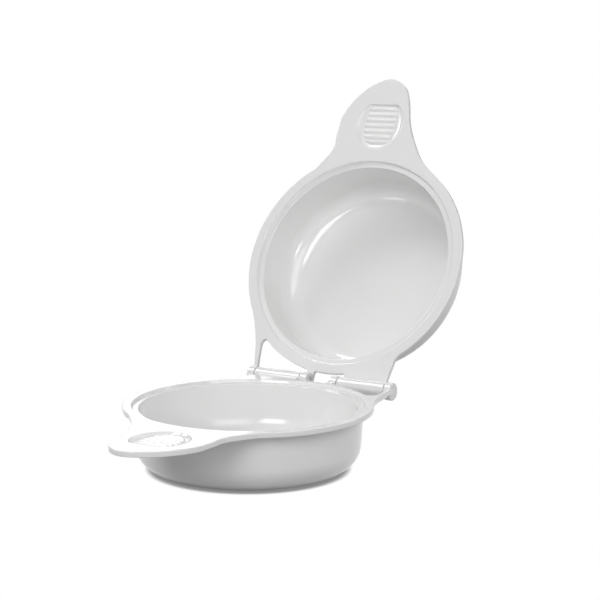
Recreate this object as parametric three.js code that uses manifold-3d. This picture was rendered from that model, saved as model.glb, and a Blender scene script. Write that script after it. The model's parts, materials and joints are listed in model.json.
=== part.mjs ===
// Hinged microwave egg cooker: two round plastic cups that close rim to rim on a two-barrel hinge.
// Millimetres, +Z up. The origin is the middle of the base cup's underside. The hinge axis runs
// along X at the back (+Y), and the thumb tabs point to the front (-Y). The lid stands open.
import * as THREE from 'three';
import { mergeVertices } from 'three/addons/utils/BufferGeometryUtils.js';
import Module from 'manifold-3d';

const wasm = await Module();
wasm.setup();

// Cup, shared by both halves.
const RIM_STEP = 1.4;
const RIM_STEP_DRAFT = 0.3;
const CUP_FILLET = 9.4;
const FLANGE_THICKNESS = 2.4;
const FLANGE_OVERLAP = 1.2;

// Clearances: between the closed rims, and between neighbouring moving faces.
const RIM_GAP = 0.3;
const FIT_GAP = 0.3;

// Hinge. Each half has an outer boss and a middle lug on its +X side, and a barrel on its -X side.
const HINGE_Y = 61.8;
const HINGE_DROP = 1.9;
const HINGE_OFFSET = 0.9;
const OPEN_ANGLE = THREE.MathUtils.degToRad(116.6);
const LUG_INNER = 6.0;
const LUG_OUTER = 9.9;
const BOSS_INNER = 34.9;
const BOSS_OUTER = 38.5;
const LUG_RADIUS = 4.1;
const BARREL_RADIUS = 3.8;
const END_CHAMFER = 0.4;
const PIN_RADIUS = 1.9;
const PIN_RECESS = 0.2;
const PIN_CHAMFER = 0.3;
const BOSS_END_WALL = 0.8;

// Where the ear, the window and the web leave the round flange, as angles from +X.
const EAR_ROOT_ANGLE = THREE.MathUtils.degToRad(30);
const WINDOW_ANGLE = THREE.MathUtils.degToRad(50);
const WEB_ROOT_ANGLE = THREE.MathUtils.degToRad(131);

// Thumb tab: where it leaves the round flange, and the points of its outline in between.
const TAB_ROOT_ANGLE = THREE.MathUtils.degToRad(36);
const TAB_OUTLINE = [
  [-24.5, -52.9], [-18.6, -61.4], [-13.2, -72.3], [-9.8, -84.3], [-6, -91.6], [1.4, -95.2],
  [10, -92.8], [18.5, -85.5], [24.2, -75.5], [25.2, -65.5], [25.6, -56.5],
];
const TAB_ROOT_Y = -45;
const THUMB_HALF_WIDTH = 12.3;
const THUMB_HALF_LENGTH = 13.5;
const THUMB_CUT = 10.3;
const THUMB_DEPTH = 1.4;
const THUMB_FLOOR_SCALE = 0.84;
const GRIP_RIBS = 7;
const GRIP_PITCH = 2.95;
const GRIP_START = -8.1;
const GRIP_RIB_WIDTH = 1.5;
const GRIP_RIB_TOP = 0.7;
const GRIP_RIB_HEIGHT = 0.9;

// The two halves differ a little in every radius, in wall and in the height of the hinge axis over
// the rim. The base cup sits a little to its barrel's side of the hinge and has the longer tab.
// Its floor is the heavier one, so that the cooker stands with its lid open.
const BASE = {
  centreX: -HINGE_OFFSET,
  flangeRadius: 55.0,
  rimRadius: 51.0,
  mouthRadius: 48.0,
  floorRadius: 37.8,
  tabStretch: 1.04,
  depth: 24.6,
  floor: 4.0,
  wall: 2.4,
  axisZ: -HINGE_DROP,
  thumb: [4.0, -74.0],
};
const LID = {
  centreX: 0,
  flangeRadius: 56.4,
  rimRadius: 51.6,
  mouthRadius: 48.7,
  floorRadius: 38.5,
  tabStretch: 1,
  depth: 26.2,
  floor: 1.2,
  wall: 1.2,
  axisZ: HINGE_DROP + RIM_GAP,
  thumb: [3.0, -71.4],
};
const RIM_HEIGHT = BASE.depth + BASE.floor;

const LATHE_SEGMENTS = 60;
const ROUND_SEGMENTS = 24;
const FILLET_STEPS = 5;
const CURVE_STEPS = 10;

const whitePlastic = () => new THREE.MeshStandardMaterial({
  color: 0xf1f1ef,
  roughness: 0.28,
  metalness: 0,
});

// A three.js geometry as a solid, and back.
function solid(geometry) {
  const bare = geometry.index ? geometry.toNonIndexed() : geometry.clone();
  bare.deleteAttribute('normal');
  bare.deleteAttribute('uv');
  const merged = mergeVertices(bare, 1e-4);
  return new wasm.Manifold(new wasm.Mesh({
    numProp: 3,
    vertProperties: new Float32Array(merged.attributes.position.array),
    triVerts: new Uint32Array(merged.index.array),
  }));
}

function geometryOf(manifold) {
  const mesh = manifold.getMesh();
  const geometry = new THREE.BufferGeometry();
  geometry.setAttribute('position', new THREE.BufferAttribute(mesh.vertProperties, 3));
  geometry.setIndex(new THREE.BufferAttribute(mesh.triVerts, 1));
  geometry.computeVertexNormals();
  return geometry;
}

// Points on an arc in the lathe plane, from one angle to another.
function arc(centreRadius, centreZ, radius, from, to, steps = FILLET_STEPS) {
  const points = [];
  for (let i = 0; i <= steps; i += 1) {
    const angle = from + (to - from) * i / steps;
    points.push([centreRadius + radius * Math.cos(angle), centreZ + radius * Math.sin(angle)]);
  }
  return points;
}

// A closed profile of [radius, z] turned about Z.
function turned(profile, segments) {
  const points = profile.map(([radius, z]) => new THREE.Vector2(radius, z));
  const geometry = new THREE.LatheGeometry(points, segments);
  geometry.rotateX(Math.PI / 2);
  return solid(geometry);
}

// The cup with its stepped rim. The rim's top face is at z = 0 and the cup hangs below it.
function cup({ centreX, rimRadius, mouthRadius, floorRadius, depth, floor, wall }) {
  const quarter = Math.PI / 2;
  const underside = -depth - floor;
  const outerFillet = CUP_FILLET + wall;
  const outer = arc(floorRadius, underside + outerFillet, outerFillet, -quarter, 0);
  const inner = arc(floorRadius, -depth + CUP_FILLET, CUP_FILLET, 0, -quarter);
  const profile = [
    [0, underside],
    ...outer,
    [mouthRadius + wall, -FLANGE_THICKNESS],
    [rimRadius + FLANGE_OVERLAP, -FLANGE_THICKNESS],
    [rimRadius + FLANGE_OVERLAP, 0],
    [rimRadius, 0],
    [rimRadius - RIM_STEP_DRAFT, -RIM_STEP],
    [mouthRadius, -RIM_STEP],
    ...inner,
    [0, -depth],
  ];
  return turned(profile, LATHE_SEGMENTS).translate([centreX, 0, 0]);
}

// A point on a half's round flange.
function onFlange({ centreX, flangeRadius }, angle) {
  return [centreX + flangeRadius * Math.cos(angle), flangeRadius * Math.sin(angle)];
}

// The angle at which the round flange reaches a given x on the hinge side.
function flangeAngle({ centreX, flangeRadius }, x) {
  return Math.acos((x - centreX) / flangeRadius);
}

// The +X side of the flange outline: outer ear, window and middle lug leg.
function traceLugs(shape, half) {
  const [rootX, rootY] = onFlange(half, EAR_ROOT_ANGLE);
  const windowCorner = onFlange(half, WINDOW_ANGLE);
  const legFoot = flangeAngle(half, LUG_OUTER + 1.6);
  const footY = onFlange(half, legFoot)[1];
  const legOuter = LUG_OUTER - 0.2;
  const legInner = LUG_INNER + 0.2;
  shape.bezierCurveTo(rootX - 4.2, rootY + 7.2, BOSS_OUTER + 3.4, 44, BOSS_OUTER + 2.2, 50);
  shape.lineTo(BOSS_OUTER + 0.7, HINGE_Y - 4.3);
  shape.lineTo(BOSS_OUTER - 0.2, HINGE_Y);
  shape.lineTo(BOSS_INNER + 1.9, HINGE_Y);
  shape.lineTo(BOSS_INNER + 3.1, HINGE_Y - 8);
  shape.lineTo(BOSS_INNER + 3.7, HINGE_Y - 15.4);
  shape.quadraticCurveTo(BOSS_INNER + 3.8, windowCorner[1] + 0.1, windowCorner[0], windowCorner[1]);
  shape.absarc(half.centreX, 0, half.flangeRadius, WINDOW_ANGLE, legFoot, false);
  shape.quadraticCurveTo(legOuter, footY + 0.6, legOuter, footY + 2);
  shape.lineTo(legOuter, HINGE_Y);
  shape.lineTo(legInner, HINGE_Y);
  shape.lineTo(legInner, footY + 1);
}

// The -X side of the flange outline: the solid web that carries the barrel.
function traceWeb(shape, half, startAngle) {
  const left = -LUG_OUTER - FIT_GAP;
  const right = -BOSS_INNER + FIT_GAP;
  const startY = onFlange(half, startAngle)[1];
  const root = onFlange(half, WEB_ROOT_ANGLE);
  shape.quadraticCurveTo(left, startY + 0.3, left, startY + 1.6);
  shape.lineTo(left, HINGE_Y);
  shape.lineTo(right + 2.7, HINGE_Y);
  shape.lineTo(right + 2.2, HINGE_Y - 5.3);
  shape.lineTo(right + 0.9, HINGE_Y - 14);
  shape.quadraticCurveTo(right + 0.4, HINGE_Y - 17, root[0], root[1]);
}

// The points of the thumb tab's outline.
function tabPoints({ centreX, tabStretch }) {
  return TAB_OUTLINE.map(([x, y]) => (
    new THREE.Vector2(x + centreX, TAB_ROOT_Y + (y - TAB_ROOT_Y) * tabStretch)
  ));
}

// The flat flange plate: round rim, thumb tab, hinge ears and web, with its top face at z = 0.
function flangePlate(half) {
  const { centreX, flangeRadius, rimRadius } = half;
  const shape = new THREE.Shape();
  const tabRight = -Math.PI / 2 + TAB_ROOT_ANGLE;
  const tabLeft = Math.PI * 1.5 - TAB_ROOT_ANGLE;
  const notchStart = flangeAngle(half, LUG_INNER + 0.2);
  const notchEnd = flangeAngle(half, -LUG_OUTER + 0.7);
  shape.absarc(centreX, 0, flangeRadius, tabRight, EAR_ROOT_ANGLE, false);
  traceLugs(shape, half);
  shape.absarc(centreX, 0, flangeRadius, notchStart, notchEnd, false);
  traceWeb(shape, half, notchEnd);
  shape.absarc(centreX, 0, flangeRadius, WEB_ROOT_ANGLE, tabLeft, false);
  shape.splineThru([...tabPoints(half), new THREE.Vector2(...onFlange(half, tabRight))]);
  const hole = new THREE.Path();
  hole.absarc(centreX, 0, rimRadius + FLANGE_OVERLAP / 2, 0, Math.PI * 2, true);
  shape.holes.push(hole);
  const geometry = new THREE.ExtrudeGeometry(shape, {
    depth: FLANGE_THICKNESS,
    bevelEnabled: false,
    curveSegments: CURVE_STEPS * 2,
  });
  geometry.translate(0, 0, -FLANGE_THICKNESS);
  return solid(geometry);
}

// A round bar along X, centred on the hinge axis of a half, with chamfered ends.
function hingeBar(from, to, radius, axisZ, chamfer = END_CHAMFER) {
  const profile = [
    new THREE.Vector2(0, from),
    new THREE.Vector2(radius - chamfer, from),
    new THREE.Vector2(radius, from + chamfer),
    new THREE.Vector2(radius, to - chamfer),
    new THREE.Vector2(radius - chamfer, to),
    new THREE.Vector2(0, to),
  ];
  const geometry = new THREE.LatheGeometry(profile, ROUND_SEGMENTS);
  geometry.rotateZ(-Math.PI / 2);
  geometry.translate(0, HINGE_Y, axisZ);
  return solid(geometry);
}

// The shallow thumb dish: an oval with sloping sides and one straight end.
function thumbDish([x, y]) {
  const dish = new THREE.LatheGeometry([
    new THREE.Vector2(0, -1),
    new THREE.Vector2(THUMB_FLOOR_SCALE, -1),
    new THREE.Vector2(1, 0),
    new THREE.Vector2(1, 1),
    new THREE.Vector2(0, 1),
  ], ROUND_SEGMENTS * 2);
  dish.rotateX(Math.PI / 2);
  dish.scale(THUMB_HALF_WIDTH, THUMB_HALF_LENGTH, THUMB_DEPTH);
  const keep = new THREE.BoxGeometry(4 * THUMB_HALF_WIDTH, 4 * THUMB_HALF_LENGTH, 8 * THUMB_DEPTH);
  keep.translate(0, 2 * THUMB_HALF_LENGTH - THUMB_CUT, 0);
  return solid(dish).intersect(solid(keep)).translate([x, y, 0]);
}

// Grip ribs across the floor of the thumb dish.
function gripRibs([x, y]) {
  const section = new THREE.Shape();
  section.moveTo(-GRIP_RIB_WIDTH / 2, -THUMB_DEPTH - 0.2);
  section.lineTo(GRIP_RIB_WIDTH / 2, -THUMB_DEPTH - 0.2);
  section.lineTo(GRIP_RIB_TOP / 2, -THUMB_DEPTH + GRIP_RIB_HEIGHT);
  section.lineTo(-GRIP_RIB_TOP / 2, -THUMB_DEPTH + GRIP_RIB_HEIGHT);
  let ribs = null;
  for (let i = 0; i < GRIP_RIBS; i += 1) {
    const ribY = GRIP_START + i * GRIP_PITCH;
    const reach = Math.sqrt(1 - (ribY / THUMB_HALF_LENGTH) ** 2) * THUMB_HALF_WIDTH * THUMB_FLOOR_SCALE;
    const rib = new THREE.ExtrudeGeometry(section, { depth: 2 * reach, bevelEnabled: false });
    rib.rotateX(Math.PI / 2);
    rib.rotateZ(Math.PI / 2);
    rib.translate(x - reach, y + ribY, 0);
    const piece = solid(rib);
    ribs = ribs ? ribs.add(piece) : piece;
  }
  return ribs;
}

// One half: cup, flange, lugs and barrel in one moulding, bored for the two hinge pins.
function halfGeometry(half) {
  const bore = PIN_RADIUS + FIT_GAP;
  const left = LUG_OUTER + FIT_GAP;
  const right = BOSS_INNER - FIT_GAP;
  const body = cup(half)
    .add(flangePlate(half))
    .add(hingeBar(LUG_INNER, LUG_OUTER, LUG_RADIUS, half.axisZ))
    .add(hingeBar(BOSS_INNER, BOSS_OUTER, LUG_RADIUS, half.axisZ))
    .add(hingeBar(-right, -left, BARREL_RADIUS, half.axisZ))
    .subtract(hingeBar(LUG_INNER - 1, BOSS_OUTER - BOSS_END_WALL, bore, half.axisZ, 0))
    .subtract(hingeBar(-right - 1, -left + 1, bore, half.axisZ, 0));
  const dished = body.subtract(thumbDish(half.thumb)).add(gripRibs(half.thumb));
  return geometryOf(dished);
}

// A plain pin from one half's lug to the closed end of its boss, through the other half's barrel.
function pinGeometry({ axisZ }) {
  const end = BOSS_OUTER - BOSS_END_WALL - FIT_GAP;
  return geometryOf(hingeBar(LUG_INNER + PIN_RECESS, end, PIN_RADIUS, axisZ, PIN_CHAMFER));
}

function named(name, geometry) {
  const mesh = new THREE.Mesh(geometry, whitePlastic());
  mesh.name = name;
  return mesh;
}

// Base: stands on its flat underside.
const base = new THREE.Group();
base.position.set(HINGE_OFFSET, 0, RIM_HEIGHT);
base.add(named('base_cup', halfGeometry(BASE)));
base.add(named('hinge_pin_right', pinGeometry(BASE)));

// Lid: the same moulding turned over, so that its lugs face the base's barrel.
const lidTurned = new THREE.Group();
lidTurned.rotation.y = Math.PI;
lidTurned.position.set(0, -HINGE_Y, HINGE_DROP + RIM_GAP);
lidTurned.add(named('lid_cup', halfGeometry(LID)));
lidTurned.add(named('hinge_pin_left', pinGeometry(LID)));

const lid = new THREE.Group();
lid.position.set(HINGE_OFFSET, HINGE_Y, RIM_HEIGHT - HINGE_DROP);
lid.rotation.x = -OPEN_ANGLE;
lid.add(lidTurned);

const eggCooker = new THREE.Group();
eggCooker.add(base, lid);

export default eggCooker;
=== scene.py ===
import json
import math

import bmesh
import bpy
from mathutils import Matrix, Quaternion, Vector
from mathutils.geometry import delaunay_2d_cdt


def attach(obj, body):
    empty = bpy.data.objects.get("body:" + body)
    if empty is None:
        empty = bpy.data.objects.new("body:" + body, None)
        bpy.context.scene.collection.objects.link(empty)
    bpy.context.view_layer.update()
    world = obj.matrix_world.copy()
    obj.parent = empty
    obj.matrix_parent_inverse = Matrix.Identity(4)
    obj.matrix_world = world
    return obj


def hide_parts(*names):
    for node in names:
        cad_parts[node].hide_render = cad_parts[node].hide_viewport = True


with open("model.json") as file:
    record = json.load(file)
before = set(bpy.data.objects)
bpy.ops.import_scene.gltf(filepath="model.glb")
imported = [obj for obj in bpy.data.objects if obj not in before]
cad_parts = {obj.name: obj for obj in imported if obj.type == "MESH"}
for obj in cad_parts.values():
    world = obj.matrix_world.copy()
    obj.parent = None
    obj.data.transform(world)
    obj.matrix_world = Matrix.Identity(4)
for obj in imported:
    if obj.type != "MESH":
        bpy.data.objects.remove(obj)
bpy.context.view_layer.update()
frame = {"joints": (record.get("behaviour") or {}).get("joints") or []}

MM = 0.001

# ---------------------------------------------------------------- object dimensions, in millimetres
# The cups, outlines and hinge repeat the CAD part; roundings and ribs are finer here. A half is
# drawn in its own frame: rim face at z = 0, cup below it, hinge towards +Y, hinge lugs on +X and
# hinge barrel on -X.
RIM_STEP = 1.4
RIM_STEP_DRAFT = 0.3
CUP_FILLET = 9.4
FLANGE = 2.4
RIM_GAP = 0.3

LUG_INNER = 6.0
LUG_OUTER = 9.9
BOSS_INNER = 34.9
BOSS_OUTER = 38.5
FIT_GAP = 0.3
LUG_RADIUS = 4.1
BARREL_RADIUS = 3.8
PIN_RADIUS = 1.9
PIN_EDGE = 0.3
PIN_RECESS = 0.2
BORE_RADIUS = 1.98
BORE_OVERRUN = 1
BOSS_END_WALL = 0.8
LUG_EDGE = 0.45
BARREL_EDGE = 0.35

JOINT = frame["joints"][0]
HINGE_OFFSET = JOINT["pos_m"][0] / MM
HINGE_Y = JOINT["pos_m"][1] / MM
HINGE_Z = JOINT["pos_m"][2] / MM
HINGE_DROP = 1.9
RIM_HEIGHT = HINGE_Z + HINGE_DROP
CLOSE_ANGLE = math.radians(JOINT["range_deg"][1])

BASE = dict(
    centre=-HINGE_OFFSET, flange=55.0, rim=51.0, mouth=48.0, floor_radius=37.8, tab_stretch=1.04,
    depth=24.6, floor=4.0, wall=2.4, axis_z=-HINGE_DROP, thumb=(4.0, -74.0),
)
LID = dict(
    centre=0.0, flange=56.4, rim=51.6, mouth=48.7, floor_radius=38.5, tab_stretch=1.0,
    depth=26.2, floor=1.2, wall=1.2, axis_z=HINGE_DROP + RIM_GAP, thumb=(3.0, -71.4),
)

TAB_ROOT = math.radians(36)
TAB_LEAD = 0.06
TAB_ROOT_Y = -45
EAR_ROOT = math.radians(30)
EAR_BEND_Y = 50
WINDOW_ANGLE = math.radians(50)
WEB_ROOT = math.radians(131)
TAB_OUTLINE = [
    (-24.5, -52.9), (-18.6, -61.4), (-13.2, -72.3), (-9.8, -84.3), (-6, -91.6), (1.4, -95.2),
    (10, -92.8), (18.5, -85.5), (24.2, -75.5), (25.2, -65.5), (25.6, -56.5),
]

# Thumb dish: an oval cove with one straight, steep end, round a ribbed panel.
DISH_HALF_WIDTH = 12.3
DISH_HALF_LENGTH = 13.5
DISH_CUT = 10.3
DISH_DEPTH = 1.4
PANEL_HALF_WIDTH = 8.4
PANEL_TOP = 14.0
PANEL_BOTTOM = 10.8
PANEL_CUT = 9.95
RIB_COUNT = 7
RIB_PITCH = 2.95
RIB_START = -8.1
RIB_HEIGHT = 1.0
RIB_FADE = 0.3
LIP_OUTER = 0.35
LIP_INNER = 0.12
LIP_MIDDLE_DROP = 0.05
LIP_DROP = 0.14
COVE_STEPS = (0.0, 0.12, 0.26, 0.42, 0.6, 0.8, 1.0)
PANEL_COLUMNS = 16
PANEL_ROWS_PER_RIB = 8
PANEL_MARGIN = 0.2
PANEL_CORE_INSET = 0.3

# Roundings and how finely curves are divided.
EDGE = 0.4
EDGE_STEPS = 3
SIDE_INSET = 0.25
UNDER_FLANGE_COVE = 0.5
COVE_SLOPE = (0, 0.4, 0.75, 1)
WALL_STEPS = 4
INSIDE_FILLET_STEPS = 16
OUTSIDE_FILLET_STEPS = 18
FLOOR_RINGS = (30, 20, 10)
CIRCLE = 240
BAR_SEGMENTS = 64
SPACING = 0.9
SMOOTH_ANGLE = 32
NORMAL_WEIGHT = 60


# ---------------------------------------------------------------- curves in the plane
def on_circle(radius, angle):
    return (radius * math.cos(angle), radius * math.sin(angle))


def arc(radius, start, end, spacing=SPACING):
    """Points from start to end on a circle about the origin."""
    count = max(2, round(abs(end - start) * radius / spacing))
    return [on_circle(radius, start + (end - start) * i / count) for i in range(count + 1)]


def bezier(*control, count=14):
    """Points on a Bezier curve of any degree."""
    points = []
    for i in range(count + 1):
        t = i / count
        level = list(control)
        while len(level) > 1:
            level = [
                (a[0] + (b[0] - a[0]) * t, a[1] + (b[1] - a[1]) * t)
                for a, b in zip(level, level[1:])
            ]
        points.append(level[0])
    return points


def spline(points, spacing=SPACING):
    """A Catmull-Rom curve through the points."""
    out = [points[0]]
    for i in range(len(points) - 1):
        p0 = points[max(i - 1, 0)]
        p1, p2 = points[i], points[i + 1]
        p3 = points[min(i + 2, len(points) - 1)]
        count = max(2, round(math.dist(p1, p2) / spacing))
        for j in range(1, count + 1):
            t = j / count
            out.append(tuple(
                0.5 * (2 * b + (c - a) * t + (2 * a - 5 * b + 4 * c - d) * t * t
                       + (3 * b - a - 3 * c + d) * t ** 3)
                for a, b, c, d in zip(p0, p1, p2, p3)
            ))
    return out


def line(start, end, spacing=1.6):
    count = max(1, round(math.dist(start, end) / spacing))
    return [
        (start[0] + (end[0] - start[0]) * i / count, start[1] + (end[1] - start[1]) * i / count)
        for i in range(count + 1)
    ]


def tidy(points, least=0.12):
    """Drops points that repeat the one before, and the last if it repeats the first."""
    out = [points[0]]
    for p in points[1:]:
        if math.dist(p, out[-1]) > least:
            out.append(p)
    while math.dist(out[0], out[-1]) <= least:
        out.pop()
    return out


def inset(loop, distance):
    """An anticlockwise loop moved inwards by distance."""
    out = []
    for i, p in enumerate(loop):
        a, b = loop[i - 1], loop[(i + 1) % len(loop)]
        d1 = Vector((p[0] - a[0], p[1] - a[1])).normalized()
        d2 = Vector((b[0] - p[0], b[1] - p[1])).normalized()
        n1, n2 = Vector((-d1.y, d1.x)), Vector((-d2.y, d2.x))
        n = (n1 + n2).normalized()
        n *= distance / max(n.dot(n1), 0.6)
        out.append((p[0] + n.x, p[1] + n.y))
    return out


def inside(point, loop):
    x, y = point
    hit = False
    for i, (x2, y2) in enumerate(loop):
        x1, y1 = loop[i - 1]
        if (y1 > y) != (y2 > y) and x < (x2 - x1) * (y - y1) / (y2 - y1) + x1:
            hit = not hit
    return hit


# ---------------------------------------------------------------- outline of a half
def on_flange(half, angle):
    x, y = on_circle(half["flange"], angle)
    return (x + half["centre"], y)


def flange_angle(half, x):
    """The angle at which the round flange reaches x on the hinge side."""
    return math.acos((x - half["centre"]) / half["flange"])


def flange_arc(half, start, end):
    return [(x + half["centre"], y) for x, y in arc(half["flange"], start, end)]


def ear_outline(ear, corner):
    """From the ear's root on the flange, round the boss end and back to the window's corner."""
    bend = (BOSS_OUTER + 2.2, EAR_BEND_Y)
    end_out = (BOSS_OUTER - SIDE_INSET, HINGE_Y)
    end_in = (BOSS_INNER + 1.9, HINGE_Y)
    waist = (BOSS_INNER + 3.7, HINGE_Y - 15.4)
    swell = (ear[0] - 4.2, ear[1] + 7.2)
    points = bezier(ear, swell, (BOSS_OUTER + 3.4, 44), bend, count=22)
    points += bezier(bend, (BOSS_OUTER + 1.5, 53.6), (BOSS_OUTER + 0.6, HINGE_Y - 3.6), end_out, count=12)
    points += line(end_out, end_in, 0.9)
    points += bezier(end_in, (BOSS_INNER + 3.2, HINGE_Y - 7), waist, count=12)
    points += bezier(waist, (BOSS_INNER + 3.8, corner[1] + 0.1), corner, count=10)
    return points


def leg_outline(half, foot):
    """From the middle lug's foot, round the lug and back to the flange; also its angle there."""
    outer, inner = LUG_OUTER - SIDE_INSET, LUG_INNER + SIDE_INSET
    ankle = (outer, foot[1] + 2.4)
    points = bezier(foot, (outer, foot[1] + 0.4), ankle, count=8)
    points += line(ankle, (outer, HINGE_Y), 1.0)
    points += line((outer, HINGE_Y), (inner, HINGE_Y), 0.9)
    notch = flange_angle(half, LUG_INNER - 0.5)
    root = on_flange(half, notch)
    heel = (inner, root[1] + 1.4)
    points += line((inner, HINGE_Y), heel, 1.0)
    points += bezier(heel, (inner - 0.05, root[1] + 0.3), root, count=5)
    return points, notch


def lugs_outline(half):
    """The +X hinge side: ear up to the boss, window, and leg of the middle lug."""
    corner = on_flange(half, WINDOW_ANGLE)
    foot_angle = flange_angle(half, LUG_OUTER + 1.6)
    leg, notch = leg_outline(half, on_flange(half, foot_angle))
    points = ear_outline(on_flange(half, EAR_ROOT), corner)
    points += flange_arc(half, WINDOW_ANGLE, foot_angle)
    return points + leg, notch


def web_outline(half):
    """The -X hinge side: the solid web that carries the barrel."""
    left = -LUG_OUTER - FIT_GAP
    right = -BOSS_INNER + FIT_GAP
    start = flange_angle(half, -LUG_OUTER + 0.7)
    root = on_flange(half, start)
    heel = (left, root[1] + 1.4)
    hip = (right + 2.7, HINGE_Y)
    waist = (right + 0.9, HINGE_Y - 14)
    points = bezier(root, (left + 0.02, root[1] + 0.2), heel, count=6)
    points += line(heel, (left, HINGE_Y), 1.0)
    points += line((left, HINGE_Y), hip)
    points += bezier(hip, (right + 2.3, HINGE_Y - 6), waist, count=14)
    points += bezier(waist, (right + 0.3, HINGE_Y - 17.4), on_flange(half, WEB_ROOT), count=10)
    return start, points


def outline(half):
    """The whole flange outline, anticlockwise: round rim, hinge side and thumb tab."""
    tab_right = -math.pi / 2 + TAB_ROOT
    tab_left = 1.5 * math.pi - TAB_ROOT
    lugs, notch = lugs_outline(half)
    web_start, web = web_outline(half)
    points = flange_arc(half, tab_right, EAR_ROOT) + lugs
    points += flange_arc(half, notch, web_start) + web
    points += flange_arc(half, WEB_ROOT, tab_left)
    start, end = on_flange(half, tab_left), on_flange(half, tab_right)
    tab = [
        (x + half["centre"], TAB_ROOT_Y + (y - TAB_ROOT_Y) * half["tab_stretch"]) for x, y in TAB_OUTLINE
    ]
    lead_in = on_flange(half, tab_left - TAB_LEAD)
    lead_out = on_flange(half, tab_right + TAB_LEAD)
    curve = spline([lead_in, start, *tab, end, lead_out])
    first = min(range(len(curve)), key=lambda i: math.dist(curve[i], start))
    last = min(range(len(curve)), key=lambda i: math.dist(curve[i], end))
    return tidy(points + curve[first:last])


# ---------------------------------------------------------------- mesh building blocks
class Mesh:
    """A bmesh being filled, in millimetres."""

    def __init__(self):
        self.bm = bmesh.new()

    def loop(self, points, z):
        return [self.bm.verts.new((x, y, z)) for x, y in points]

    def bridge(self, a, b, up):
        """Quads between two closed loops of one length. up says which way they face."""
        for i in range(len(a)):
            quad = [a[i - 1], a[i], b[i], b[i - 1]]
            self.bm.faces.new(quad if up else quad[::-1])

    def cap(self, loop, place, up):
        """A fan from a loop to a place in its middle."""
        middle = self.bm.verts.new(place)
        for i in range(len(loop)):
            fan = [loop[i - 1], loop[i], middle]
            self.bm.faces.new(fan if up else fan[::-1])

    def fill(self, outer, holes, up, extra=()):
        """Triangles over a flat region between an outer loop and its holes."""
        loops = [outer, *holes]
        verts = [v for loop in loops for v in loop] + list(extra)
        edges, start = [], 0
        for loop in loops:
            count = len(loop)
            edges += [(start + i, start + (i + 1) % count) for i in range(count)]
            start += count
        flat = [Vector(v.co[:2]) for v in verts]
        out, _, faces, origin, _, _ = delaunay_2d_cdt(flat, edges, [], 0, 1e-7, True)
        shapes = [[tuple(v.co[:2]) for v in loop] for loop in loops]
        for face in faces:
            middle = sum((out[i] for i in face), Vector((0, 0))) / len(face)
            if not inside(middle, shapes[0]) or any(inside(middle, s) for s in shapes[1:]):
                continue
            corners = [verts[origin[i][0]] for i in face]
            self.bm.faces.new(corners if up else corners[::-1])

    def object(self, name):
        bmesh.ops.recalc_face_normals(self.bm, faces=self.bm.faces)
        bmesh.ops.scale(self.bm, vec=(MM, MM, MM), verts=self.bm.verts)
        mesh = bpy.data.meshes.new(name)
        self.bm.to_mesh(mesh)
        self.bm.free()
        obj = bpy.data.objects.new(name, mesh)
        bpy.context.scene.collection.objects.link(obj)
        shade(obj)
        return obj


def shade(obj):
    """Smooth faces, with an edge kept sharp where it turns by more than SMOOTH_ANGLE."""
    for polygon in obj.data.polygons:
        polygon.use_smooth = True
    obj.data.set_sharp_from_angle(angle=math.radians(SMOOTH_ANGLE))


def quarter(steps):
    """(sideways, down) of a quarter round of radius 1, from the flat face to the upright one."""
    angles = [math.pi / 2 * i / steps for i in range(steps + 1)]
    return [(math.sin(a), 1 - math.cos(a)) for a in angles]


def ring(half, radius):
    turn = [on_circle(radius, math.tau * i / CIRCLE) for i in range(CIRCLE)]
    return [(x + half["centre"], y) for x, y in turn]


def slope(start, end, steps):
    """The points strictly between two (radius, z) places."""
    return [
        (start[0] + (end[0] - start[0]) * i / steps, start[1] + (end[1] - start[1]) * i / steps)
        for i in range(1, steps)
    ]


def fillet_arc(radius, centre_z, fillet, steps):
    """A quarter round from the upright wall down to the flat floor."""
    angles = [math.pi / 2 * i / steps for i in range(steps + 1)]
    return [(radius + fillet * math.cos(a), centre_z - fillet * math.sin(a)) for a in angles]


def profile_inside(half):
    """(radius, z) from the rim's inner edge down to near the middle of the floor."""
    rim, mouth = half["rim"], half["mouth"]
    points = [(rim + EDGE * (1 - s), -EDGE * d) for s, d in quarter(EDGE_STEPS)]
    foot = rim - RIM_STEP_DRAFT
    points += [(foot + 0.02, -RIM_STEP + 0.3), (foot - 0.09, -RIM_STEP + 0.09), (foot - 0.3, -RIM_STEP)]
    points += [(mouth + EDGE * (1 - s), -RIM_STEP - EDGE * d) for s, d in quarter(EDGE_STEPS)]
    top = -half["depth"] + CUP_FILLET
    wall_foot = (half["floor_radius"] + CUP_FILLET, top)
    points += slope((mouth, -RIM_STEP - EDGE), wall_foot, WALL_STEPS)
    points += fillet_arc(half["floor_radius"], top, CUP_FILLET, INSIDE_FILLET_STEPS)
    return points + [(radius, -half["depth"]) for radius in FLOOR_RINGS]


def profile_outside(half):
    """(radius, z) from the underside of the flange down to near the middle of the cup's underside."""
    radius = half["mouth"] + half["wall"]
    fillet = CUP_FILLET + half["wall"]
    bottom = -half["depth"] - half["floor"]
    top = bottom + fillet
    cove = UNDER_FLANGE_COVE
    points = [
        (radius + cove * (1 - s), -FLANGE - cove * (1 - math.sqrt(1 - s * s))) for s in COVE_SLOPE
    ]
    wall_foot = (half["floor_radius"] + fillet, top)
    points += slope((radius, -FLANGE - cove), wall_foot, WALL_STEPS)
    points += fillet_arc(half["floor_radius"], top, fillet, OUTSIDE_FILLET_STEPS)
    return points + [(r, bottom) for r in FLOOR_RINGS]


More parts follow.
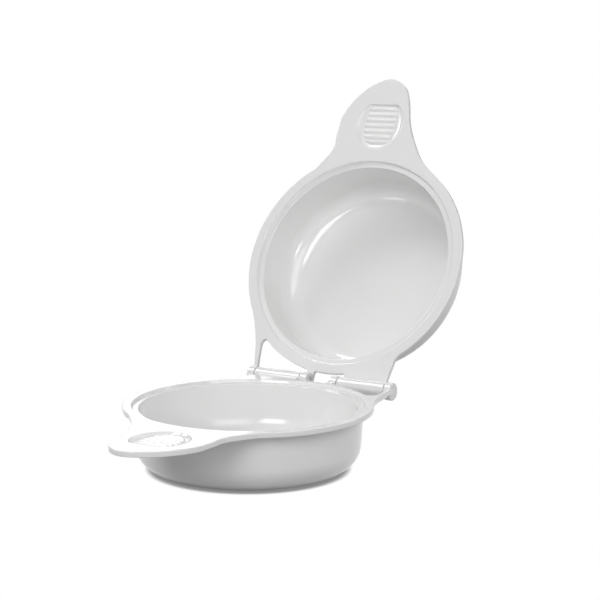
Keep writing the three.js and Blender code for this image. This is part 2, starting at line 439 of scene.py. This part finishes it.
# ---------------------------------------------------------------- thumb dish
def oval(width, top, bottom, cut, power, centre, arc_count=84, cut_count=18):
    """A closed loop: an oval (or superellipse) with its -Y end cut off straight."""
    reach = (1 - (cut / top) ** power) ** (1 / power)
    end = math.atan2(-((cut / top) ** (power / 2)), reach ** (power / 2))
    points = []
    for i in range(arc_count + 1):
        a = end + (math.pi - 2 * end) * i / arc_count
        c, s = math.cos(a), math.sin(a)
        x = math.copysign(abs(c) ** (2 / power), c) * width
        y = math.copysign(abs(s) ** (2 / power), s) * (bottom if s > 0 else top)
        points.append((x, max(y, -cut)))
    half = width * reach
    points += [(-half + 2 * half * i / cut_count, -cut) for i in range(1, cut_count)]
    return [(centre[0] + x, centre[1] + y) for x, y in points]


def relax(loop, passes):
    """Rounds a loop's corners a little."""
    for _ in range(passes):
        after = loop[1:] + loop[:1]
        loop = [
            tuple(0.25 * a + 0.5 * b + 0.25 * c for a, b, c in zip(loop[i - 1], p, after[i]))
            for i, p in enumerate(loop)
        ]
    return loop


def rib_height(x, y):
    """Height of the grip ribs over the panel, at a place in the dish's own frame."""
    phase = (y - RIB_START) / RIB_PITCH
    if not -0.5 <= phase <= RIB_COUNT - 0.5:
        return 0.0
    wave = 0.5 + 0.5 * math.cos(math.tau * phase)
    length = PANEL_TOP if y < 0 else PANEL_BOTTOM
    across = (abs(x) / PANEL_HALF_WIDTH) ** 3 + (abs(y) / length) ** 3
    fade = min(1.0, max(0.0, (1 - across) / RIB_FADE))
    return RIB_HEIGHT * wave ** 0.8 * fade * (2 - fade)


def cove_loops(rim, panel):
    """(loop, depth) from the rounded lip of the dish down its cove to the ribbed panel."""
    steps = [(inset(rim, -LIP_OUTER), 0.0), (inset(rim, -LIP_INNER), LIP_MIDDLE_DROP)]
    for s in COVE_STEPS:
        loop = [(a[0] + (b[0] - a[0]) * s, a[1] + (b[1] - a[1]) * s) for a, b in zip(rim, panel)]
        steps.append((loop, LIP_DROP + (DISH_DEPTH - LIP_DROP) * (1 - (1 - s) ** 2)))
    return steps


def rib_grid(mesh, centre, core):
    """Vertices over the ribbed panel, raised where a rib is."""
    grid = []
    step_y = RIB_PITCH / PANEL_ROWS_PER_RIB
    for j in range(int((PANEL_CUT + PANEL_BOTTOM) / step_y)):
        y = -PANEL_CUT + PANEL_MARGIN + j * step_y
        for i in range(-PANEL_COLUMNS, PANEL_COLUMNS + 1):
            x = PANEL_HALF_WIDTH * i / PANEL_COLUMNS
            place = (centre[0] + x, centre[1] + y)
            if inside(place, core):
                grid.append(mesh.bm.verts.new((*place, -DISH_DEPTH + rib_height(x, y))))
    return grid


def add_dish(mesh, centre):
    """Builds the dish below z = 0 and returns its rim loop."""
    rim = relax(oval(DISH_HALF_WIDTH, DISH_HALF_LENGTH, DISH_HALF_LENGTH, DISH_CUT, 2, centre), 3)
    panel = relax(oval(PANEL_HALF_WIDTH, PANEL_TOP, PANEL_BOTTOM, PANEL_CUT, 3, centre), 3)
    loops = [mesh.loop(loop, -depth) for loop, depth in cove_loops(rim, panel)]
    for a, b in zip(loops, loops[1:]):
        mesh.bridge(a, b, False)
    bound = [tuple(v.co[:2]) for v in loops[-1]]
    mesh.fill(loops[-1], [], True, rib_grid(mesh, centre, inset(bound, PANEL_CORE_INSET)))
    return loops[0]


# ---------------------------------------------------------------- one half
def bar(start, end, radius, axis_z, edge):
    """A round bar along X on the hinge axis, as a closed mesh, with its ends rounded by edge."""
    mesh = Mesh()
    steps = [(start, radius)]
    if edge:
        steps = [(start + edge * d, radius - edge * (1 - s)) for s, d in quarter(EDGE_STEPS)]
    profile = steps + [(start + end - x, r) for x, r in reversed(steps)]
    turn = [math.tau * i / BAR_SEGMENTS for i in range(BAR_SEGMENTS)]
    loops = [
        [mesh.bm.verts.new((x, HINGE_Y + r * math.cos(a), axis_z + r * math.sin(a))) for a in turn]
        for x, r in profile
    ]
    for a, b in zip(loops, loops[1:]):
        mesh.bridge(a, b, True)
    mesh.cap(loops[0], (start, HINGE_Y, axis_z), True)
    mesh.cap(loops[-1], (end, HINGE_Y, axis_z), True)
    return mesh


def merged(parts, name):
    """Several closed meshes as one object."""
    whole = Mesh()
    for part in parts:
        bmesh.ops.recalc_face_normals(part.bm, faces=part.bm.faces)
        data = bpy.data.meshes.new("part")
        part.bm.to_mesh(data)
        part.bm.free()
        whole.bm.from_mesh(data)
        bpy.data.meshes.remove(data)
    return whole.object(name)


def boolean(obj, other, operation):
    modifier = obj.modifiers.new("cut", "BOOLEAN")
    modifier.operation = operation
    modifier.solver = "EXACT"
    modifier.object = other
    bake_modifiers(obj)
    bpy.data.objects.remove(other)


def bake_modifiers(obj):
    graph = bpy.context.evaluated_depsgraph_get()
    data = bpy.data.meshes.new_from_object(obj.evaluated_get(graph), depsgraph=graph)
    obj.modifiers.clear()
    obj.data = data


def flange_plate(mesh, half):
    """The rounded edge of the flange. Returns its upper and its lower loop."""
    edge = outline(half)
    round_over = quarter(EDGE_STEPS)
    loops = [mesh.loop(inset(edge, EDGE * (1 - s)), -EDGE * d) for s, d in round_over]
    loops += [mesh.loop(inset(edge, EDGE * (1 - s)), -FLANGE + EDGE * d) for s, d in reversed(round_over)]
    for a, b in zip(loops, loops[1:]):
        mesh.bridge(a, b, False)
    return loops[0], loops[-1]


def bowl_skin(mesh, half, profile, floor_z, up):
    """One side of the bowl, from its first ring to its flat middle. Returns the first ring."""
    loops = [mesh.loop(ring(half, r), z) for r, z in profile]
    for a, b in zip(loops, loops[1:]):
        mesh.bridge(a, b, up)
    mesh.cap(loops[-1], (half["centre"], 0, floor_z), up)
    return loops[0]


def add_hinge(obj, half):
    """Lug, boss and barrel on the hinge axis, and the bores through them."""
    near = LUG_OUTER + FIT_GAP
    far = BOSS_INNER - FIT_GAP
    axis = half["axis_z"]
    bars = [
        bar(LUG_INNER, LUG_OUTER, LUG_RADIUS, axis, LUG_EDGE),
        bar(BOSS_INNER, BOSS_OUTER, LUG_RADIUS, axis, LUG_EDGE),
        bar(-far, -near, BARREL_RADIUS, axis, BARREL_EDGE),
    ]
    boolean(obj, merged(bars, "bars"), "UNION")
    bores = [
        bar(LUG_INNER - BORE_OVERRUN, BOSS_OUTER - BOSS_END_WALL, BORE_RADIUS, axis, 0),
        bar(-far - BORE_OVERRUN, -near + BORE_OVERRUN, BORE_RADIUS, axis, 0),
    ]
    boolean(obj, merged(bores, "bores"), "DIFFERENCE")
    shade(obj)


def half_object(half, name):
    """Cup, flange, tab, lugs and barrel of one half, in its own frame."""
    mesh = Mesh()
    upper, lower = flange_plate(mesh, half)
    dish = add_dish(mesh, half["thumb"])
    inner = bowl_skin(mesh, half, profile_inside(half), -half["depth"], True)
    outer = bowl_skin(mesh, half, profile_outside(half), -half["depth"] - half["floor"], False)
    mesh.fill(upper, [inner, dish], True)
    mesh.fill(lower, [outer], False)
    obj = mesh.object(name)
    add_hinge(obj, half)
    return obj


def pin_object(half, name):
    """A hinge pin, held between the recess at the middle lug and the boss's closed end."""
    start = LUG_INNER + PIN_RECESS
    end = BOSS_OUTER - BOSS_END_WALL - FIT_GAP
    return bar(start, end, PIN_RADIUS, half["axis_z"], PIN_EDGE).object(name)


def finish_piece(obj, body, node, material):
    """Gives a piece its material, and its place in the frame."""
    modifier = obj.modifiers.new("normals", "WEIGHTED_NORMAL")
    modifier.keep_sharp = True
    modifier.weight = NORMAL_WEIGHT
    obj.data.materials.clear()
    obj.data.materials.append(material)
    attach(obj, body)
    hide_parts(node)


def place_base(obj):
    """Lifts a half's parts to the base's rim height, with the hinge's middle in its place."""
    for v in obj.data.vertices:
        v.co.x += HINGE_OFFSET * MM
        v.co.z += RIM_HEIGHT * MM


def place_lid(obj):
    """Turns a half over about the hinge's middle plane, closes it and swings it open."""
    c, s = math.cos(-CLOSE_ANGLE), math.sin(-CLOSE_ANGLE)
    for v in obj.data.vertices:
        x, y, z = v.co
        up = (RIM_GAP + RIM_HEIGHT) * MM - z - HINGE_Z * MM
        along = y - HINGE_Y * MM
        v.co = (HINGE_OFFSET * MM - x, HINGE_Y * MM + along * c - up * s, HINGE_Z * MM + along * s + up * c)


# ---------------------------------------------------------------- materials
def node(tree, kind, **inputs):
    made = tree.nodes.new(kind)
    for key, value in inputs.items():
        made.inputs[key.replace("_", " ")].default_value = value
    return made


def map_range(tree, source, target):
    """A node that maps the span source to the span target."""
    return node(
        tree, "ShaderNodeMapRange",
        From_Min=source[0], From_Max=source[1], To_Min=target[0], To_Max=target[1],
    )


def empty_material(name):
    material = bpy.data.materials.new(name)
    material.use_nodes = True
    material.node_tree.nodes.clear()
    return material


def tone_ramp(tree, shade_value, tint):
    """A narrow ramp between two near shades of the plastic."""
    ramp = tree.nodes.new("ShaderNodeValToRGB")
    for stop, position, value in zip(ramp.color_ramp.elements, (0.3, 0.7), (0.985, 1)):
        stop.position = position
        stop.color = (*(shade_value * value * part for part in tint), 1)
    return ramp


def plastic(name, shade_value, tint, roughness):
    """White moulded polypropylene: faint colour drift, satin gloss with fine moulding texture."""
    material = empty_material(name)
    tree = material.node_tree
    out = tree.nodes.new("ShaderNodeOutputMaterial")
    shader = node(tree, "ShaderNodeBsdfPrincipled", IOR=1.5, Specular_IOR_Level=0.75, Metallic=0.0)
    coord = tree.nodes.new("ShaderNodeTexCoord")
    cloud = node(tree, "ShaderNodeTexNoise", Scale=34.0, Detail=3.0, Roughness=0.55)
    tone = tone_ramp(tree, shade_value, tint)
    wear = node(tree, "ShaderNodeTexNoise", Scale=120.0, Detail=4.0, Roughness=0.6)
    gloss = map_range(tree, (0.3, 0.7), (roughness - 0.02, roughness + 0.03))
    grain = node(tree, "ShaderNodeTexNoise", Scale=900.0, Detail=2.0, Roughness=0.5)
    bump = node(tree, "ShaderNodeBump", Strength=0.04, Distance=0.0001)
    links = tree.links
    for texture in (cloud, wear, grain):
        links.new(coord.outputs["Object"], texture.inputs["Vector"])
    links.new(cloud.outputs["Fac"], tone.inputs["Fac"])
    links.new(tone.outputs["Color"], shader.inputs["Base Color"])
    links.new(wear.outputs["Fac"], gloss.inputs["Value"])
    links.new(gloss.outputs["Result"], shader.inputs["Roughness"])
    links.new(grain.outputs["Fac"], bump.inputs["Height"])
    links.new(bump.outputs["Normal"], shader.inputs["Normal"])
    links.new(shader.outputs["BSDF"], out.inputs["Surface"])
    return material


# ---------------------------------------------------------------- camera
def direction(azimuth, elevation):
    """A unit vector. Azimuth 0 is straight in front and positive to the right, in degrees."""
    azimuth, elevation = math.radians(azimuth), math.radians(elevation)
    return Vector((
        math.sin(azimuth) * math.cos(elevation),
        -math.cos(azimuth) * math.cos(elevation),
        math.sin(elevation),
    ))


def add_camera(azimuth, elevation, roll, target, distance, lens):
    """A camera aimed at target from a distance in metres; angles in degrees."""
    back = direction(azimuth, elevation)
    data = bpy.data.cameras.new("camera")
    data.sensor_width = 36.0
    data.lens = lens
    data.clip_start = 0.01
    data.clip_end = 50
    camera = bpy.data.objects.new("camera", data)
    bpy.context.scene.collection.objects.link(camera)
    camera.location = Vector(target) + back * distance
    camera.rotation_mode = "QUATERNION"
    turn = (-back).to_track_quat("-Z", "Y")
    spin = turn @ Vector((0, 0, 1))
    camera.rotation_quaternion = Quaternion(spin, math.radians(roll)) @ turn
    bpy.context.scene.camera = camera


# ---------------------------------------------------------------- light and floor
WHITE = (1, 1, 1, 1)
LIGHT_TARGET = Vector((0, 0.04, 0.06))
FLOOR_HALF = 8.0
# Painted contact shadow on the floor: ambient occlusion reach, the occlusion span mapped to glow, and the
# dimmest glow under the bowl.
CONTACT_SHADOW_DISTANCE = 0.003
CONTACT_SHADOW_RANGE = (0.2, 0.75)
CONTACT_SHADOW_GLOW = 0.25


def soft_light(name, azimuth, elevation, energy, size=0.55, distance=1.2):
    """A square softbox aimed at the object, from a direction in degrees."""
    away = direction(azimuth, elevation)
    data = bpy.data.lights.new(name, "AREA")
    data.energy = energy
    data.size = size
    lamp = bpy.data.objects.new(name, data)
    bpy.context.scene.collection.objects.link(lamp)
    lamp.location = LIGHT_TARGET + away * distance
    lamp.rotation_mode = "QUATERNION"
    lamp.rotation_quaternion = (-away).to_track_quat("-Z", "Y")
    lamp.visible_camera = False


def seen_or_reflected(tree, reflected=1.0):
    """1 for rays from the eye, a share for mirror reflections, 0 for diffuse light."""
    path = tree.nodes.new("ShaderNodeLightPath")
    share = tree.nodes.new("ShaderNodeMath")
    share.operation = "MULTIPLY"
    share.inputs[1].default_value = reflected
    either = tree.nodes.new("ShaderNodeMath")
    either.operation = "MAXIMUM"
    tree.links.new(path.outputs["Is Glossy Ray"], share.inputs[0])
    tree.links.new(path.outputs["Is Camera Ray"], either.inputs[0])
    tree.links.new(share.outputs["Value"], either.inputs[1])
    return either.outputs["Value"]


def mix_into(tree, out, amount, unseen, seen):
    """Joins two shaders by amount and sends them to the output."""
    mix = tree.nodes.new("ShaderNodeMixShader")
    tree.links.new(amount, mix.inputs["Fac"])
    tree.links.new(unseen, mix.inputs[1])
    tree.links.new(seen, mix.inputs[2])
    tree.links.new(mix.outputs["Shader"], out.inputs["Surface"])


def add_world(backdrop, ambient, reflected):
    """A white backdrop to the eye, dimmer in reflections, that gives ambient diffuse light."""
    world = bpy.data.worlds.new("studio")
    world.use_nodes = True
    tree = world.node_tree
    tree.nodes.clear()
    out = tree.nodes.new("ShaderNodeOutputWorld")
    seen = node(tree, "ShaderNodeBackground", Color=WHITE, Strength=backdrop)
    unseen = node(tree, "ShaderNodeBackground", Color=WHITE, Strength=ambient)
    amount = seen_or_reflected(tree, reflected)
    mix_into(tree, out, amount, unseen.outputs["Background"], seen.outputs["Background"])
    bpy.context.scene.world = world


def floor_material(glow, bounce):
    """Glows to the eye like a lit table, darker at a contact through a painted contact shadow from ambient
    occlusion, and gives the object little bounce.
    """
    material = empty_material("floor")
    tree = material.node_tree
    out = tree.nodes.new("ShaderNodeOutputMaterial")
    lit = node(tree, "ShaderNodeEmission", Color=WHITE)
    dull = node(tree, "ShaderNodeBsdfDiffuse", Color=(bounce, bounce, bounce, 1))
    # Painted contact shadow: the floor's glow is dimmed where ambient occlusion finds the object close by.
    contact = node(tree, "ShaderNodeAmbientOcclusion", Distance=CONTACT_SHADOW_DISTANCE)
    glow_range = map_range(tree, CONTACT_SHADOW_RANGE, (CONTACT_SHADOW_GLOW, glow))
    tree.links.new(contact.outputs["AO"], glow_range.inputs["Value"])
    tree.links.new(glow_range.outputs["Result"], lit.inputs["Strength"])
    mix_into(tree, out, seen_or_reflected(tree), dull.outputs["BSDF"], lit.outputs["Emission"])
    return material


def add_floor(glow, bounce):
    """A wide white floor."""
    mesh = bpy.data.meshes.new("floor")
    corners = [(-1, -1), (1, -1), (1, 1), (-1, 1)]
    mesh.from_pydata([(x * FLOOR_HALF, y * FLOOR_HALF, 0) for x, y in corners], [], [(0, 1, 2, 3)])
    floor = bpy.data.objects.new("floor", mesh)
    bpy.context.scene.collection.objects.link(floor)
    floor.data.materials.append(floor_material(glow, bounce))


# ---------------------------------------------------------------- scene
add_camera(
    azimuth=30.45, elevation=9.2, roll=0.29, target=(0.00236, 0.040, 0.06911), distance=0.7669, lens=101.5,
)

base = half_object(BASE, "base_half")
lid = half_object(LID, "lid_half")
pin_right = pin_object(BASE, "pin_right")
pin_left = pin_object(LID, "pin_left")
place_base(base)
place_base(pin_right)
place_lid(lid)
place_lid(pin_left)

white = plastic("white_plastic", shade_value=0.88, tint=(1.0, 1.0, 0.997), roughness=0.11)
finish_piece(base, "base", "base_cup", white)
finish_piece(lid, "lid", "lid_cup", white)
finish_piece(pin_right, "base", "hinge_pin_right", white)
finish_piece(pin_left, "lid", "hinge_pin_left", white)

add_floor(glow=1.0, bounce=0.3)
add_world(backdrop=1.0, ambient=0.0, reflected=0.35)
soft_light("key", 2, 28, 4.7)
soft_light("right", 52, 36, 4.2, size=0.8)
soft_light("top", 0, 80, 0.8, size=1.3)
soft_light("left_strip", -84, 36, 2.4, size=0.3)
soft_light("left_high", -78, 60, 3.4, size=0.3)
soft_light("right_strip", 74, 5, 1.6, size=0.3)
soft_light("front_left", -30, 4, 0.7, size=0.25)
soft_light("back_left", -135, 20, 1.4)
soft_light("back_right", 135, 20, 3.6)
soft_light("back", 180, 42, 1.0)
bpy.context.scene.view_settings.view_transform = "Standard"
